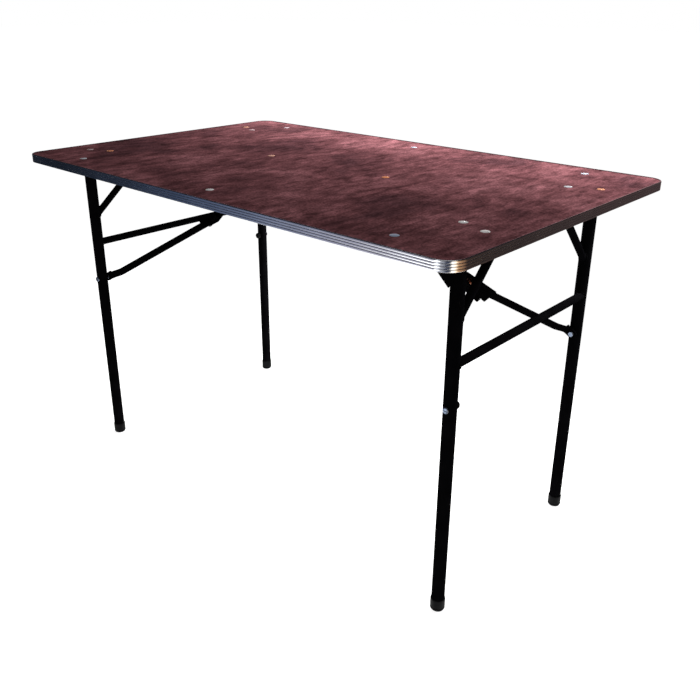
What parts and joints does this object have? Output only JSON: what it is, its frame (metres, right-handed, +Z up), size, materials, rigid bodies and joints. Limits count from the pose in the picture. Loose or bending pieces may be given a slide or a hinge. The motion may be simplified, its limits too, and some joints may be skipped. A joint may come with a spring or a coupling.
{
  "type": "folding banquet table",
  "caption": "Rectangular folding table: a dark film-faced plywood top with ribbed aluminium edging on two black tube leg frames, each with a jointed folding brace.",
  "frame": {"origin": "on the floor, under the middle of the top", "axes": "+X along the long side, towards the end whose legs stand closer together; +Y across the table; +Z up"},
  "size_m": [1.22, 0.762, 0.762],
  "materials": {
    "plywood_film": "dark red-brown phenolic film on plywood, scuffed satin",
    "edging_aluminium": "ribbed extrusion, mill finish",
    "black_paint": "semi-gloss black paint on steel tube and sheet",
    "bolt_steel": "zinc plated, dulled",
    "foot_plastic": "black moulded cap",
    "cap_plastic": "black domed cap on a plated bolt",
    "buffer_rubber": "black rubber"
  },
  "bodies": {
    "tabletop": {"tabletop_board": "plywood_film", "edge_trim": "edging_aluminium", "buffer_bolt_1": "bolt_steel", "stacking_buffer_1": "buffer_rubber", "buffer_bolt_2": "bolt_steel", "stacking_buffer_2": "buffer_rubber", "buffer_bolt_3": "bolt_steel", "stacking_buffer_3": "buffer_rubber", "buffer_bolt_4": "bolt_steel", "stacking_buffer_4": "buffer_rubber", "buffer_bolt_5": "bolt_steel", "stacking_buffer_5": "buffer_rubber", "buffer_bolt_6": "bolt_steel", "stacking_buffer_6": "buffer_rubber", "saddle_bolt_right_1": "bolt_steel", "saddle_bolt_right_2": "bolt_steel", "saddle_bolt_right_3": "bolt_steel", "saddle_bolt_right_4": "bolt_steel", "bracket_bolt_right": "bolt_steel", "hinge_saddle_right_front": "black_paint", "hinge_saddle_right_back": "black_paint", "centre_bracket_right": "black_paint", "bracket_pin_right": "bolt_steel", "saddle_bolt_left_1": "bolt_steel", "saddle_bolt_left_2": "bolt_steel", "saddle_bolt_left_3": "bolt_steel", "saddle_bolt_left_4": "bolt_steel", "bracket_bolt_left": "bolt_steel", "hinge_saddle_left_front": "black_paint", "hinge_saddle_left_back": "black_paint", "centre_bracket_left": "black_paint", "bracket_pin_left": "bolt_steel"},
    "right_frame": {"leg_right_front": "black_paint", "strut_right_front": "black_paint", "foot_right_front": "foot_plastic", "leg_right_back": "black_paint", "strut_right_back": "black_paint", "foot_right_back": "foot_plastic", "pivot_tube_right": "black_paint", "stretcher_right": "black_paint", "brace_pivot_bolt_right": "bolt_steel", "capped_leg_bolt_right": "cap_plastic"},
    "right_brace_arm": {"brace_arm_right": "black_paint", "knee_bolt_right": "bolt_steel"},
    "right_brace_link": {"brace_link_right": "black_paint", "knee_nut_right": "bolt_steel"},
    "left_frame": {"leg_left_front": "black_paint", "strut_left_front": "black_paint", "foot_left_front": "foot_plastic", "leg_left_back": "black_paint", "strut_left_back": "black_paint", "foot_left_back": "foot_plastic", "pivot_tube_left": "black_paint", "stretcher_left": "black_paint", "brace_pivot_bolt_left": "bolt_steel", "capped_leg_bolt_left": "cap_plastic"},
    "left_brace_arm": {"brace_arm_left": "black_paint", "knee_bolt_left": "bolt_steel"},
    "left_brace_link": {"brace_link_left": "black_paint", "knee_nut_left": "bolt_steel"}
  },
  "joints": [
    {"name": "right_frame_fold", "type": "hinge", "parent": "tabletop", "child": "right_frame", "pos_m": [0.522, 0, 0.717], "axis": [0, 1, 0], "range_deg": [0, 86]},
    {"name": "right_arm_swing", "type": "hinge", "parent": "right_frame", "child": "right_brace_arm", "pos_m": [0.522, 0, 0.443], "axis": [0, 1, 0], "range_deg": [0, 41.6]},
    {"name": "right_link_swing", "type": "hinge", "parent": "tabletop", "child": "right_brace_link", "pos_m": [0.224, 0, 0.7275], "axis": [0, -1, 0], "range_deg": [0, 43.7]},
    {"name": "left_frame_fold", "type": "hinge", "parent": "tabletop", "child": "left_frame", "pos_m": [-0.522, 0, 0.717], "axis": [0, -1, 0], "range_deg": [0, 86]},
    {"name": "left_arm_swing", "type": "hinge", "parent": "left_frame", "child": "left_brace_arm", "pos_m": [-0.522, 0, 0.443], "axis": [0, -1, 0], "range_deg": [0, 41.6]},
    {"name": "left_link_swing", "type": "hinge", "parent": "tabletop", "child": "left_brace_link", "pos_m": [-0.224, 0, 0.7275], "axis": [0, 1, 0], "range_deg": [0, 43.7]}
  ],
  "couplings": [
    {"joint": "right_arm_swing", "follows": "right_frame_fold", "ratio": 0.4834},
    {"joint": "right_link_swing", "follows": "right_frame_fold", "ratio": 0.5078},
    {"joint": "left_arm_swing", "follows": "left_frame_fold", "ratio": 0.4834},
    {"joint": "left_link_swing", "follows": "left_frame_fold", "ratio": 0.5078}
  ]
}
